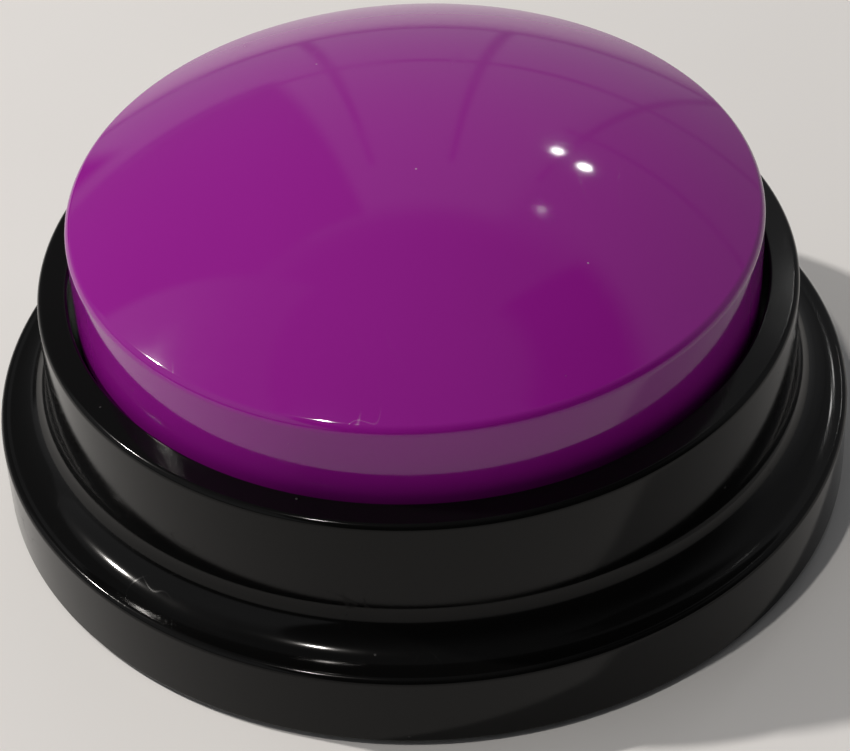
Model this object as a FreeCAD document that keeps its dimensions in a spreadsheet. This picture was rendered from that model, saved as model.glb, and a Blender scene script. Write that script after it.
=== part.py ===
import FreeCAD, Part
import math
import os
import re
import Sketcher

# A quiz buzzer: a purple press cap standing in a two-step black housing, with the
# return springs, switch, circuit board, speaker and two AAA cells inside it.
# Millimetres. +Z is up and the origin is on the table under the middle of the base.
# Minus Y is the front. Every size comes from the sheet that the two lists below fill.

Vector = FreeCAD.Vector

DRIVING = [
    # the two-step housing
    ("base_radius", "45"),
    ("flange_edge_height", "9.1"),
    ("flange_rise", "0"),
    ("flange_width", "5.4"),
    ("step_fillet", "4.5"),
    ("ring_height", "23.9"),
    ("ring_rise", "0.3"),
    ("ring_draft", "0.3"),
    ("ring_wall", "3.1"),
    ("shell_wall", "2.1"),
    ("edge_rounding", "0.7"),
    ("small_rounding", "0.3"),
    ("channel_depth", "8.8"),
    ("channel_width", "3.5"),
    ("deck_thickness", "2"),
    # the press cap
    ("cap_gap", "0.7"),
    ("cap_stand", "8.2"),
    ("dome_rise", "9.3"),
    ("cap_wall", "2"),
    ("cap_edge_rounding", "1.3"),
    ("cap_rib_thickness", "1.2"),
    ("cap_rib_depth", "2.4"),
    ("post_radius", "4"),
    ("post_bore", "2.2"),
    ("post_bore_depth", "5"),
    ("button_travel", "3"),
    ("stop_gap", "0.05"),
    # the snap hooks that hold the cap down
    ("hook_inset", "5.7"),
    ("hook_thickness", "1.9"),
    ("hook_width", "5"),
    ("hook_reach", "1.3"),
    ("hook_tip_depth", "1.8"),
    ("slot_clearance", "0.3"),
    ("hook_flex_room", "1.6"),
    # the return springs
    ("spring_circle", "22"),
    ("spring_radius", "4"),
    ("spring_wire", "0.35"),
    ("spring_turns", "5.5"),
    ("spring_length", "10"),
    ("spigot_radius", "2.9"),
    ("spigot_height", "2"),
    # the bottom plate, its screws and feet
    ("foot_drop", "0.6"),
    ("foot_radius", "3.5"),
    ("foot_sink", "0.8"),
    ("foot_inset", "7.5"),
    ("fit_gap", "0.2"),
    ("plate_thickness", "2"),
    ("boss_radius", "3.2"),
    ("boss_inset", "3.1"),
    ("cup_radius", "4.2"),
    ("cup_height", "2"),
    ("case_head_radius", "2.5"),
    ("case_head_height", "1.6"),
    ("case_shank_radius", "1.1"),
    ("case_shank_length", "8"),
    ("thread_gap", "0.05"),
    # the AAA cells and their bay
    ("cell_radius", "5.25"),
    ("cell_length", "44.5"),
    ("cell_button_radius", "1.9"),
    ("cell_button_height", "0.8"),
    ("cell_spacing", "0.5"),
    ("bay_middle", "3"),
    ("bay_wall", "1.4"),
    ("bay_ceiling", "1.2"),
    ("bay_clearance", "0.3"),
    ("contact_thickness", "0.4"),
    ("contact_width", "8"),
    ("contact_margin", "3.5"),
    ("contact_bump", "0.5"),
    ("contact_spring_length", "3.4"),
    ("contact_tab_width", "2.4"),
    ("contact_wire", "0.3"),
    ("contact_turns", "2.25"),
    ("contact_lean", "-20"),
    # the battery door
    ("door_thickness", "1.6"),
    ("door_ledge", "0.8"),
    ("door_rib_height", "0.45"),
    ("tab_width", "1.9"),
    ("tab_reach", "1.6"),
    ("tab_thickness", "1"),
    ("tab_root", "1.2"),
    ("tongue_length", "5.2"),
    ("tongue_width", "9"),
    ("tongue_thickness", "3.2"),
    ("door_head_radius", "2.2"),
    ("door_head_height", "1.5"),
    ("door_floor", "1.3"),
    ("door_boss_height", "3"),
    ("door_rib_spread", "11.5"),
    ("door_shank_radius", "1.1"),
    ("door_shank_length", "4.6"),
    ("door_shank_gap", "0.3"),
    ("washer_thickness", "0.5"),
    # the circuit board and the switch on it
    ("board_gap", "1.9"),
    ("board_thickness", "1.2"),
    ("board_standoff", "1.2"),
    ("board_half_width", "19"),
    ("board_front", "19"),
    ("board_back", "15"),
    ("board_screw_side", "11.5"),
    ("board_screw_back", "12"),
    ("board_screw_front", "13.5"),
    ("board_boss_radius", "2.5"),
    ("board_shank_radius", "0.9"),
    ("board_shank_length", "4.4"),
    ("board_head_radius", "1.9"),
    ("board_head_height", "1.2"),
    ("chip_cover_radius", "4"),
    ("chip_cover_crown", "2.5"),
    ("chip_cover_side", "11.5"),
    ("chip_cover_back", "3"),
    ("chip_row_side", "4"),
    ("chip_row_back", "6"),
    ("chip_pitch", "3"),
    ("chip_width", "1.6"),
    ("chip_length", "3"),
    ("chip_height", "0.6"),
    ("capacitor_radius", "2.5"),
    ("capacitor_length", "7"),
    ("capacitor_side", "12"),
    ("capacitor_front", "15"),
    ("switch_half_width", "6"),
    ("switch_body_height", "3.3"),
    ("switch_cover_thickness", "0.3"),
    ("switch_height", "7.3"),
    ("switch_opening_gap", "1.4"),
    ("pin_width", "0.8"),
    ("pin_spread", "2.5"),
    ("plunger_radius", "3.4"),
    ("plunger_gap", "0.1"),
    ("plunger_ratio", "0.1"),
    # the speaker
    ("speaker_radius", "13.5"),
    ("speaker_rim_height", "0.9"),
    ("speaker_rim_width", "1.8"),
    ("speaker_basket_radius", "9.5"),
    ("speaker_basket_height", "2.8"),
    ("speaker_sheet", "0.5"),
    ("magnet_radius", "7"),
    ("magnet_height", "3"),
    ("coil_radius", "4.1"),
    ("terminal_half_width", "3"),
    ("terminal_depth", "3.1"),
    ("terminal_height", "0.9"),
    ("speaker_wall", "1.4"),
    ("speaker_head_radius", "2.4"),
    ("speaker_shank_length", "1.8"),
    ("speaker_post_radius", "1.45"),
    ("speaker_screw_turn", "35"),
    ("grille_hole_radius", "1"),
    ("grille_pitch", "4"),
    # the leads
    ("lead_radius", "0.5"),
    ("lead_bend", "1"),
    ("lead_landing", "4"),
    ("lead_inset", "3"),
    ("speaker_lead_start", "2"),
    ("speaker_lead_spread", "6"),
]

DERIVED = [
    ("flange_inner_height", "=flange_edge_height + flange_rise"),
    ("ring_foot_radius", "=base_radius - flange_width"),
    ("ring_top_radius", "=ring_foot_radius - ring_draft"),
    ("ring_bore", "=ring_top_radius - ring_wall"),
    ("ring_crest", "=ring_height + ring_rise"),
    ("shell_inner_radius", "=base_radius - shell_wall"),
    ("flange_under", "=flange_edge_height - shell_wall"),
    ("ring_inner_radius", "=ring_foot_radius - shell_wall"),
    ("plate_radius", "=shell_inner_radius - fit_gap"),
    ("plate_top", "=foot_drop + plate_thickness"),
    ("door_top", "=foot_drop + door_thickness"),
    ("cell_bottom", "=door_top + door_rib_height + stop_gap"),
    ("cell_axis_height", "=cell_bottom + cell_radius"),
    ("bay_under", "=cell_axis_height + cell_radius + bay_clearance"),
    ("bay_top", "=bay_under + bay_ceiling"),
    ("board_under", "=bay_top + board_gap"),
    ("board_top", "=board_under + board_thickness"),
    ("deck_under", "=board_top + board_standoff"),
    ("deck_top", "=deck_under + deck_thickness"),
    ("channel_floor", "=ring_crest - channel_depth"),
    ("channel_under", "=channel_floor - deck_thickness"),
    ("deck_rim_radius", "=ring_bore - channel_width"),
    ("deck_inner_radius", "=deck_rim_radius - deck_thickness + fit_gap"),
    ("cap_radius", "=ring_bore - cap_gap"),
    ("cap_inner_radius", "=cap_radius - cap_wall"),
    ("cap_edge_height", "=ring_crest + cap_stand"),
    ("skirt_bottom", "=channel_floor + button_travel + stop_gap"),
    ("dome_apex", "=cap_edge_height + dome_rise"),
    ("dome_radius", "=(cap_radius * cap_radius + dome_rise * dome_rise) / (2 * dome_rise)"),
    ("dome_centre", "=dome_apex - dome_radius"),
    ("dome_inner_apex", "=dome_apex - cap_wall"),
    ("dome_middle_apex", "=dome_apex - cap_wall / 2"),
    ("rib_bottom", "=cap_edge_height - cap_rib_depth"),
    ("rib_reach", "=cap_inner_radius + cap_wall / 2"),
    ("switch_top", "=board_top + switch_height"),
    ("plunger_travel", "=button_travel * plunger_ratio"),
    ("post_bottom", "=switch_top + button_travel - plunger_travel"),
    ("hook_outer", "=deck_rim_radius - hook_inset + hook_thickness"),
    ("hook_inner", "=deck_rim_radius - hook_inset"),
    ("hook_barb", "=hook_outer + hook_reach"),
    ("hook_catch", "=deck_under - stop_gap"),
    ("hook_tip", "=hook_catch - hook_tip_depth"),
    ("slot_outer", "=hook_outer + slot_clearance"),
    ("slot_inner", "=hook_inner - hook_flex_room"),
    ("slot_half_width", "=hook_width / 2 + slot_clearance"),
    ("spring_top", "=deck_top + spring_length"),
    ("seat_radius", "=spring_radius + spring_wire + cap_rib_thickness / 2"),
    ("boss_circle", "=ring_inner_radius - boss_inset"),
    ("boss_bottom", "=plate_top + cup_height"),
    ("boss_spread", "=boss_circle * sqrt(0.5)"),
    ("case_seat", "=boss_bottom - deck_thickness + stop_gap"),
    ("foot_circle", "=base_radius - foot_inset"),
    ("cell_pitch", "=2 * cell_radius + cell_spacing"),
    ("front_cell", "=bay_middle - cell_pitch / 2"),
    ("back_cell", "=bay_middle + cell_pitch / 2"),
    ("bay_inner_half_width", "=cell_pitch / 2 + cell_radius + cell_spacing"),
    ("bay_inner_front", "=bay_middle - bay_inner_half_width"),
    ("bay_inner_back", "=bay_middle + bay_inner_half_width"),
    ("bay_front", "=bay_inner_front - bay_wall"),
    ("bay_back", "=bay_inner_back + bay_wall"),
    ("bay_half_length", "=(cell_length + contact_spring_length + contact_bump) / 2 + contact_thickness"),
    ("bay_end", "=bay_half_length + bay_wall"),
    ("contact_face", "=bay_half_length - contact_thickness"),
    ("contact_half_tab", "=contact_tab_width / 2"),
    ("contact_height", "=2 * cell_radius - contact_margin"),
    ("contact_bottom", "=cell_axis_height - contact_height / 2 + fit_gap"),
    ("contact_top", "=contact_bottom + contact_height"),
    ("contact_tab_top", "=bay_top + bay_ceiling"),
    ("recess_front", "=bay_inner_front - door_ledge"),
    ("recess_back", "=bay_inner_back + door_ledge"),
    ("recess_top", "=door_top + stop_gap"),
    ("tongue_start", "=bay_end + fit_gap"),
    ("tongue_end", "=tongue_start + tongue_length + 2 * fit_gap"),
    ("tongue_half_width", "=tongue_width / 2 + fit_gap"),
    ("tongue_front", "=bay_middle - tongue_half_width"),
    ("tongue_back", "=bay_middle + tongue_half_width"),
    ("tongue_top", "=foot_drop + tongue_thickness"),
    ("door_screw_x", "=tongue_start + fit_gap + tongue_length / 2"),
    ("door_boss_bottom", "=tongue_top + washer_thickness + fit_gap"),
    ("door_boss_top", "=door_boss_bottom + door_boss_height"),
    ("door_seat", "=tongue_top - door_floor"),
    ("door_shoulder", "=bay_half_length + door_ledge - fit_gap"),
    ("tab_bottom", "=plate_top + fit_gap"),
    ("tab_top", "=tab_bottom + tab_thickness"),
    ("notch_top", "=tab_top + tab_reach / 2"),
    ("speaker_ring_inner", "=speaker_radius + bay_clearance"),
    ("speaker_ring_outer", "=speaker_ring_inner + speaker_wall"),
    ("speaker_middle", "=bay_front - bay_clearance - speaker_ring_outer"),
    ("speaker_rim_top", "=plate_top + speaker_rim_height"),
    ("speaker_basket_top", "=plate_top + speaker_basket_height"),
    ("magnet_top", "=speaker_basket_top + magnet_height"),
    ("speaker_cone_radius", "=speaker_radius - speaker_rim_width"),
    ("terminal_top", "=speaker_basket_top + terminal_height"),
    ("plunger_foot", "=board_top + board_standoff"),
    ("lead_height", "=bay_top + board_gap / 2"),
    ("speaker_screw_side", "=speaker_ring_outer * cos(speaker_screw_turn * 1deg)"),
    ("speaker_screw_y", "=speaker_middle + speaker_ring_outer * sin(speaker_screw_turn * 1deg)"),
]

HOOK_COUNT = 3
RIB_COUNT = 3
CHIP_COUNT = 5
CROSS_SHARE = 0.6
SPRING_SIDES = {"right": 30, "left": 150, "front": 270}
BOSS_CORNERS = ((1, 1), (-1, 1), (-1, -1), (1, -1))
FOOT_ANGLES = (35, 145, 240, 300)
GRILLE_RINGS = ((1, 6), (2, 12))

document = FreeCAD.newDocument("QuizBuzzer")
sizes = document.addObject("Spreadsheet::Sheet", "Sizes")
for row, (name, content) in enumerate(DRIVING + DERIVED, start=1):
    sizes.set("A%d" % row, name)
    sizes.set("B%d" % row, content)
    sizes.setAlias("B%d" % row, name)
document.recompute()

SIZE_NAMES = {name for name, content in DRIVING + DERIVED}
subparts = []


# ---------------------------------------------------------------- helpers: sizes and places

def value(terms):
    """The number that a sum or difference of size names comes to."""
    if re.search("[*/()]", terms):
        raise ValueError("%s is more than a sum" % terms)
    total = 0.0
    for sign, word in re.findall(r"([+-]?)\s*([a-z_]+|[0-9.]+)", terms):
        amount = getattr(sizes, word) if word in SIZE_NAMES else float(word)
        total += -amount if sign == "-" else amount
    return total


def pointed(expression):
    """The same expression with every size name looked up in the sheet."""
    def look_up(match):
        word = match.group(0)
        return "Sizes." + word if word in SIZE_NAMES else word
    return re.sub(r"[a-z_]+", look_up, expression)


def bind(thing, expressions):
    """Tie properties of one object to expressions in the size names."""
    for place, expression in expressions.items():
        thing.setExpression(place, pointed(expression))


def put(thing, x="0", y="0", z="0", turn=None):
    """Stand one object somewhere, turned first if a rotation is given."""
    if turn is not None:
        thing.Placement = FreeCAD.Placement(Vector(), turn)
    bind(thing, {"Placement.Base.x": x, "Placement.Base.y": y, "Placement.Base.z": z})
    return thing


def around(radius, angle):
    """The x and y expressions of a point on a circle about the Z axis."""
    return "(%s) * cos(%gdeg)" % (radius, angle), "(%s) * sin(%gdeg)" % (radius, angle)


def keep(thing, label):
    """Name one finished sub-part and remember it for writing out."""
    thing.Label = label
    subparts.append(thing)
    return thing


# ---------------------------------------------------------------- helpers: primitives

def box(x_from, x_to, y_from, y_to, z_from, z_to):
    """A block between two corners."""
    block = document.addObject("Part::Box", "Block")
    bind(block, {
        "Length": "(%s) - (%s)" % (x_to, x_from),
        "Width": "(%s) - (%s)" % (y_to, y_from),
        "Height": "(%s) - (%s)" % (z_to, z_from),
    })
    return put(block, x_from, y_from, z_from)


def cylinder(radius, z_from, z_to, x="0", y="0"):
    """An upright cylinder between two heights."""
    rod = document.addObject("Part::Cylinder", "Rod")
    bind(rod, {"Radius": radius, "Height": "(%s) - (%s)" % (z_to, z_from)})
    return put(rod, x, y, z_from)


def cone(lower_radius, upper_radius, z_from, z_to, x="0", y="0"):
    """An upright cone frustum between two heights."""
    taper = document.addObject("Part::Cone", "Taper")
    bind(taper, {
        "Radius1": lower_radius,
        "Radius2": upper_radius,
        "Height": "(%s) - (%s)" % (z_to, z_from),
    })
    return put(taper, x, y, z_from)


def fuse(parts):
    """One solid from several that touch."""
    joined = document.addObject("Part::MultiFuse", "Joined")
    joined.Shapes = list(parts)
    joined.Refine = True
    return joined


def cut(base, tools):
    """The base with every tool taken out of it."""
    removed = tools[0]
    if len(tools) > 1:
        removed = document.addObject("Part::Compound", "Tools")
        removed.Links = list(tools)
    result = document.addObject("Part::Cut", "Trimmed")
    result.Base = base
    result.Tool = removed
    return result


def group(parts):
    """Several separate solids kept as one sub-part."""
    together = document.addObject("Part::Compound", "Group")
    together.Links = list(parts)
    return together


# ---------------------------------------------------------------- helpers: bodies and sketches

def new_body(label):
    body = document.addObject("PartDesign::Body", label)
    return keep(body, label)


def new_sketch(body, role, height="0"):
    """A sketch on one of the body's own planes, moved out along its normal."""
    sketch = body.newObject("Sketcher::SketchObject", "Outline")
    plane = next(feature for feature in body.Origin.OriginFeatures if feature.Role == role)
    sketch.AttachmentSupport = [(plane, "")]
    sketch.MapMode = "FlatFace"
    bind(sketch, {"AttachmentOffset.Base.z": height})
    return sketch


def hold(sketch, kind, geometry, point, start, expression):
    """Keep one sketch point at a bound distance from the sketch's origin."""
    number = sketch.addConstraint(Sketcher.Constraint(kind, -1, 1, geometry, point, start))
    name = "held_%d" % number
    sketch.renameConstraint(number, name)
    bind(sketch, {"Constraints." + name: expression})


def arc_about(centre, start, end):
    """An arc and the numbers of its ends, in the order start then end."""
    angles = [math.atan2(point.y - centre.y, point.x - centre.x) for point in (start, end)]
    circle = Part.Circle(centre, Vector(0, 0, 1), (start - centre).Length)
    if angles[0] < angles[1]:
        return Part.ArcOfCircle(circle, angles[0], angles[1]), 1, 2
    return Part.ArcOfCircle(circle, angles[1], angles[0]), 2, 1


def outline(sketch, corners, arcs=None):
    """A closed outline through the corners.

    An edge named in arcs bends about that height on the upright axis, and the
    corner it ends at is given as None for its second coordinate.
    """
    arcs = arcs or {}
    points = []
    for number, (x, y) in enumerate(corners):
        if y is None:
            centre_height = value(arcs[number - 1])
            reach = (points[-1] - Vector(0, centre_height, 0)).Length
            height = centre_height + math.sqrt(reach ** 2 - value(x) ** 2)
        else:
            height = value(y)
        points.append(Vector(value(x), height, 0))
    edges = []
    for number, start in enumerate(points):
        end = points[(number + 1) % len(points)]
        if number in arcs:
            curve, first, last = arc_about(Vector(0, value(arcs[number]), 0), start, end)
        else:
            curve, first, last = Part.LineSegment(start, end), 1, 2
        edges.append((sketch.addGeometry(curve), first, last))
    for number, (edge, first, last) in enumerate(edges):
        next_edge, next_first, next_last = edges[(number + 1) % len(edges)]
        sketch.addConstraint(Sketcher.Constraint("Coincident", edge, last, next_edge, next_first))
        x, y = corners[number]
        hold(sketch, "DistanceX", edge, first, points[number].x, x)
        if y is not None:
            hold(sketch, "DistanceY", edge, first, points[number].y, y)
        if number in arcs:
            hold(sketch, "DistanceX", edge, 3, 0.0, "0")
            hold(sketch, "DistanceY", edge, 3, value(arcs[number]), arcs[number])
    return sketch


def rectangle(sketch, left, right, lower, upper):
    return outline(sketch, [(left, lower), (right, lower), (right, upper), (left, upper)])


def round_hole(sketch, x, y, radius):
    """A circle in a sketch; it may stand anywhere an expression can say."""
    edge = sketch.addGeometry(Part.Circle(Vector(1, 1, 0), Vector(0, 0, 1), 1))
    hold(sketch, "DistanceX", edge, 3, 1.0, x)
    hold(sketch, "DistanceY", edge, 3, 1.0, y)
    number = sketch.addConstraint(Sketcher.Constraint("Radius", edge, 1.0))
    name = "radius_%d" % number
    sketch.renameConstraint(number, name)
    bind(sketch, {"Constraints." + name: radius})
    return sketch


def pad(body, sketch, length, both_ways=False):
    raised = body.newObject("PartDesign::Pad", "Raised")
    raised.Profile = sketch
    if both_ways:
        raised.SideType = "Symmetric"
    bind(raised, {"Length": length})
    return raised


def pocket(body, sketch, depth, upward=True):
    """Cut away from the sketch, upwards unless told otherwise."""
    document.recompute()
    before = body.Shape.Volume
    hollow = body.newObject("PartDesign::Pocket", "Hollow")
    hollow.Profile = sketch
    hollow.Reversed = upward
    bind(hollow, {"Length": depth})
    document.recompute()
    if hollow.Shape.Volume >= before:
        raise ValueError("a pocket in %s cuts nothing" % body.Label)
    return hollow


def turn_about_axis(body, sketch, kind="PartDesign::Revolution"):
    turned = body.newObject(kind, "Turned")
    turned.Profile = sketch
    turned.ReferenceAxis = (sketch, ["V_Axis"])
    turned.Angle = 360
    return turned


def repeat(body, feature, count, sweep=360):
    """The same feature again at equal steps about the Z axis."""
    document.recompute()
    pattern = body.newObject("PartDesign::PolarPattern", "Repeated")
    pattern.Originals = [feature]
    axis = next(item for item in body.Origin.OriginFeatures if item.Role == "Z_Axis")
    pattern.Axis = (axis, [""])
    pattern.Mode = "Spacing"
    pattern.Offset = sweep / count
    pattern.Occurrences = count
    body.Tip = pattern
    return pattern


def round_edges(body, radius, rims):
    """Round the circular edges found at the given radius and height pairs."""
    document.recompute()
    base = body.Tip
    names = []
    for rim_radius, rim_height in rims:
        for number, edge in enumerate(base.Shape.Edges, start=1):
            if edge.Degenerated or not isinstance(edge.Curve, Part.Circle):
                continue
            same_radius = abs(edge.Curve.Radius - value(rim_radius)) < 0.001
            if same_radius and abs(edge.Curve.Center.z - value(rim_height)) < 0.001:
                names.append("Edge%d" % number)
    rounded = body.newObject("PartDesign::Fillet", "Rounded")
    rounded.Base = (base, names)
    bind(rounded, {"Radius": radius})
    body.Tip = rounded
    document.recompute()
    return rounded


# ---------------------------------------------------------------- where repeated things stand

def board_screw_places():
    """The three board screws."""
    return [
        ("board_screw_side", "board_screw_back"),
        ("-board_screw_side", "board_screw_back"),
        ("0", "-board_screw_front"),
    ]


def boss_places():
    """The four case screws."""
    return [("%d * boss_spread" % side, "%d * boss_spread" % depth) for side, depth in BOSS_CORNERS]


def spring_places():
    """The three return springs."""
    return [around("spring_circle", angle) for angle in SPRING_SIDES.values()]


def foot_places():
    """The four rubber feet."""
    return [around("foot_circle", angle) for angle in FOOT_ANGLES]


def speaker_screw_places():
    """The two speaker screws."""
    return [("speaker_screw_side", "speaker_screw_y"), ("-speaker_screw_side", "speaker_screw_y")]


def grille_places():
    """The sound holes: one in the middle and rings of six and twelve about it."""
    places = [("0", "speaker_middle")]
    for ring, count in GRILLE_RINGS:
        for step in range(count):
            x, y = around("%d * grille_pitch" % ring, step * 360 / count)
            places.append((x, "speaker_middle + " + y))
    return places


def round_holes(sketch, places, radius):
    """The same circle at every place given."""
    for x, y in places:
        round_hole(sketch, x, y, radius)
    return sketch


# ---------------------------------------------------------------- the housing and the cap

def make_upper_housing():
    """The black two-step shell: foot wall, flange, ring, press channel and deck."""
    body = new_body("upper_housing")
    shell = outline(new_sketch(body, "XZ_Plane"), [
        ("base_radius", "foot_drop"),
        ("base_radius", "flange_edge_height"),
        ("ring_foot_radius", "flange_inner_height"),
        ("ring_top_radius", "ring_height"),
        ("ring_bore", "ring_crest"),
        ("ring_bore", "channel_floor"),
        ("deck_rim_radius", "channel_floor"),
        ("deck_rim_radius", "deck_top"),
        ("0", "deck_top"),
        ("0", "deck_under"),
        ("deck_inner_radius", "deck_under"),
        ("deck_inner_radius", "channel_under"),
        ("ring_inner_radius", "channel_under"),
        ("ring_inner_radius", "flange_under"),
        ("shell_inner_radius", "flange_under"),
        ("shell_inner_radius", "foot_drop"),
    ])
    turn_about_axis(body, shell)
    round_edges(body, "step_fillet", [("ring_foot_radius", "flange_inner_height")])
    round_edges(body, "edge_rounding", [
        ("base_radius", "flange_edge_height"),
        ("ring_top_radius", "ring_height"),
    ])
    round_edges(body, "small_rounding", [
        ("ring_bore", "ring_crest"),
        ("base_radius", "foot_drop"),
        ("deck_rim_radius", "deck_top"),
    ])

    bosses = new_sketch(body, "XY_Plane", "boss_bottom")
    round_holes(bosses, boss_places(), "boss_radius")
    pad(body, bosses, "channel_under - boss_bottom + deck_thickness / 2")

    board_bosses = new_sketch(body, "XY_Plane", "board_top")
    round_holes(board_bosses, board_screw_places(), "board_boss_radius")
    pad(body, board_bosses, "board_standoff + deck_thickness + board_standoff")

    spigots = new_sketch(body, "XY_Plane", "deck_top - deck_thickness / 2")
    round_holes(spigots, spring_places(), "spigot_radius")
    pad(body, spigots, "spigot_height + deck_thickness / 2")

    opening = new_sketch(body, "XY_Plane", "deck_under")
    reach = "switch_half_width + switch_opening_gap"
    back_reach = "-switch_half_width - switch_opening_gap"
    rectangle(opening, back_reach, reach, back_reach, reach)
    pocket(body, opening, "deck_thickness")

    slot = new_sketch(body, "XY_Plane", "deck_under")
    rectangle(slot, "-slot_half_width", "slot_half_width", "slot_inner", "slot_outer")
    repeat(body, pocket(body, slot, "deck_thickness"), HOOK_COUNT)

    screw_holes = new_sketch(body, "XY_Plane", "boss_bottom")
    round_holes(screw_holes, boss_places(), "case_shank_radius + thread_gap")
    pocket(body, screw_holes, "case_shank_length")

    board_holes = new_sketch(body, "XY_Plane", "board_top")
    round_holes(board_holes, board_screw_places(), "board_shank_radius + thread_gap")
    pocket(body, board_holes, "board_shank_length - board_thickness + thread_gap")
    return body


def make_button_cap():
    """The purple press cap: dome, skirt, ribs, press post, spring seats and hooks."""
    body = new_body("button_cap")

    columns = new_sketch(body, "XY_Plane", "post_bottom")
    round_hole(columns, "0", "0", "post_radius")
    pad(body, columns, "dome_apex - post_bottom")

    rib = new_sketch(body, "XZ_Plane")
    rectangle(rib, "-rib_reach", "rib_reach", "rib_bottom", "dome_apex")
    repeat(body, pad(body, rib, "cap_rib_thickness", both_ways=True), RIB_COUNT, 180)

    seats = new_sketch(body, "XY_Plane", "spring_top")
    round_holes(seats, spring_places(), "seat_radius")
    pad(body, seats, "dome_apex - spring_top")

    seat_pins = new_sketch(body, "XY_Plane", "spring_top - spigot_height")
    round_holes(seat_pins, spring_places(), "spigot_radius")
    pad(body, seat_pins, "spigot_height + cap_rib_thickness")

    hook = outline(new_sketch(body, "YZ_Plane"), [
        ("hook_inner", "hook_tip"),
        ("hook_outer", "hook_tip"),
        ("hook_barb", "hook_catch - hook_tip_depth + hook_reach"),
        ("hook_barb", "hook_catch"),
        ("hook_outer", "hook_catch"),
        ("hook_outer", "dome_apex"),
        ("hook_inner", "dome_apex"),
    ])
    repeat(body, pad(body, hook, "hook_width", both_ways=True), HOOK_COUNT)

    above = outline(new_sketch(body, "XZ_Plane"), [
        ("rib_reach + cap_wall", "cap_edge_height - cap_rib_depth"),
        ("rib_reach + cap_wall", "dome_apex + cap_wall"),
        ("0", "dome_apex + cap_wall"),
        ("0", "dome_middle_apex"),
        ("rib_reach", None),
        ("rib_reach", "cap_edge_height - cap_rib_depth"),
    ], arcs={3: "dome_centre"})
    turn_about_axis(body, above, "PartDesign::Groove")

    shell = outline(new_sketch(body, "XZ_Plane"), [
        ("cap_radius", "skirt_bottom"),
        ("cap_radius", "cap_edge_height"),
        ("0", None),
        ("0", "dome_inner_apex"),
        ("cap_inner_radius", None),
        ("cap_inner_radius", "skirt_bottom"),
    ], arcs={1: "dome_centre", 3: "dome_centre"})
    turn_about_axis(body, shell)
    round_edges(body, "cap_edge_rounding", [("cap_radius", "cap_edge_height")])
    round_edges(body, "small_rounding", [("cap_radius", "skirt_bottom")])

    bore = new_sketch(body, "XY_Plane", "post_bottom")
    round_hole(bore, "0", "0", "post_bore")
    pocket(body, bore, "post_bore_depth")
    return body


# ---------------------------------------------------------------- the bottom plate and the door

def door_outline(sketch, gap):
    """The battery door's outline grown by a gap: none for the door, the fit gap for its recess."""
    end = "bay_half_length - fit_gap + %s" % gap
    front = "recess_front + fit_gap - %s" % gap
    back = "recess_back - fit_gap + %s" % gap
    shoulder = "-door_shoulder - %s" % gap
    tongue_front = "tongue_front + fit_gap - %s" % gap
    tongue_back = "tongue_back - fit_gap + %s" % gap
    tongue_end = "-tongue_end + fit_gap - %s" % gap
    return outline(sketch, [
        (end, front),
        (end, back),
        (shoulder, back),
        (shoulder, tongue_back),
        (tongue_end, tongue_back),
        (tongue_end, tongue_front),
        (shoulder, tongue_front),
        (shoulder, front),
    ])


def raise_plate_blocks(body):
    """Everything that stands up from the bottom plate."""
    disc = new_sketch(body, "XY_Plane", "foot_drop")
    pad(body, round_hole(disc, "0", "0", "plate_radius"), "plate_thickness")
    bay = new_sketch(body, "XY_Plane", "foot_drop")
    rectangle(bay, "-bay_end", "bay_end", "bay_front", "bay_back")
    pad(body, bay, "bay_top - foot_drop")
    latch_block = new_sketch(body, "XY_Plane", "foot_drop")
    rectangle(latch_block, "-tongue_end - bay_wall", "-bay_half_length",
              "tongue_front - bay_wall", "tongue_back + bay_wall")
    pad(body, latch_block, "door_boss_top - foot_drop")
    cups = new_sketch(body, "XY_Plane", "foot_drop")
    pad(body, round_holes(cups, boss_places(), "cup_radius"), "boss_bottom - foot_drop")
    seat = new_sketch(body, "XY_Plane", "foot_drop")
    pad(body, round_hole(seat, "0", "speaker_middle", "speaker_ring_outer"),
        "speaker_rim_top - foot_drop")
    posts = new_sketch(body, "XY_Plane", "foot_drop")
    pad(body, round_holes(posts, speaker_screw_places(), "speaker_post_radius"),
        "speaker_rim_top - foot_drop")


def hollow_battery_bay(body):
    """The cell cavity, the door's recess and latch pocket, the tab notches and the lead slots."""
    cavity = new_sketch(body, "XY_Plane", "foot_drop")
    rectangle(cavity, "-bay_half_length", "bay_half_length", "bay_inner_front", "bay_inner_back")
    pocket(body, cavity, "bay_under - foot_drop")
    recess = new_sketch(body, "XY_Plane", "foot_drop")
    pocket(body, door_outline(recess, "fit_gap"), "recess_top - foot_drop")
    latch = new_sketch(body, "XY_Plane", "foot_drop")
    rectangle(latch, "-tongue_end", "-tongue_start", "tongue_front", "tongue_back")
    pocket(body, latch, "door_boss_bottom - foot_drop")
    bore = new_sketch(body, "XY_Plane", "door_boss_bottom")
    round_hole(bore, "-door_screw_x", "bay_middle", "door_shank_radius + door_shank_gap")
    pocket(body, bore, "door_boss_top - door_boss_bottom")
    for front, back in tab_spans("fit_gap"):
        notch = new_sketch(body, "XY_Plane", "plate_top")
        rectangle(notch, "bay_half_length - fit_gap", "bay_half_length + tab_reach + fit_gap", front, back)
        pocket(body, notch, "notch_top - plate_top")
    for cell in ("front_cell", "back_cell"):
        slot = new_sketch(body, "XY_Plane", "bay_under")
        rectangle(slot, "contact_face - fit_gap", "bay_half_length",
                  cell + " - contact_half_tab - fit_gap", cell + " + contact_half_tab + fit_gap")
        pocket(body, slot, "bay_ceiling")


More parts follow.
